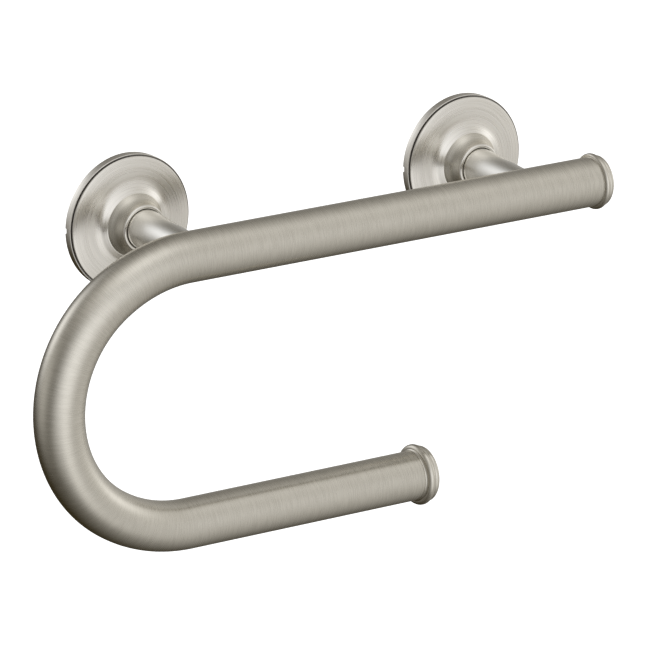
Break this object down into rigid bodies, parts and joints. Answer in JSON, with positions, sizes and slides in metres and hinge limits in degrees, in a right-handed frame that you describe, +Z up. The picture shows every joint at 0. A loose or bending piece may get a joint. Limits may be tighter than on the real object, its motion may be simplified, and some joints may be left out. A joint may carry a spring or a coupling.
{
  "type": "toilet paper holder",
  "caption": "Wall grip bar whose round tube turns back under itself in a wide bend to make an open arm for a toilet roll, on two posts with round covers.",
  "frame": {"origin": "centre of the left mounting plate's back face, on the wall", "axes": "+X along the bar towards its upper open end, +Y into the wall, +Z up"},
  "size_m": [0.3379, 0.0856, 0.1881],
  "materials": {
    "brushed_nickel": "satin nickel, brushed round each piece",
    "satin_nickel": "smooth satin nickel",
    "plain_steel": "plain stamped stainless steel",
    "black_rubber": "matt moulded rubber"
  },
  "bodies": {
    "frame": {"bent_bar": "brushed_nickel", "upper_end_cap": "brushed_nickel", "lower_end_cap": "brushed_nickel", "left_post": "satin_nickel", "right_post": "satin_nickel", "left_mounting_plate": "plain_steel", "right_mounting_plate": "plain_steel", "left_grip_ring": "black_rubber", "right_grip_ring": "black_rubber"},
    "left_cover_body": {"left_cover": "brushed_nickel"},
    "right_cover_body": {"right_cover": "brushed_nickel"}
  },
  "joints": [
    {"name": "left_cover_slide", "type": "slide", "parent": "frame", "child": "left_cover_body", "axis": [0, -1, 0], "range_m": [0, 0.036]},
    {"name": "right_cover_slide", "type": "slide", "parent": "frame", "child": "right_cover_body", "axis": [0, -1, 0], "range_m": [0, 0.036]}
  ]
}
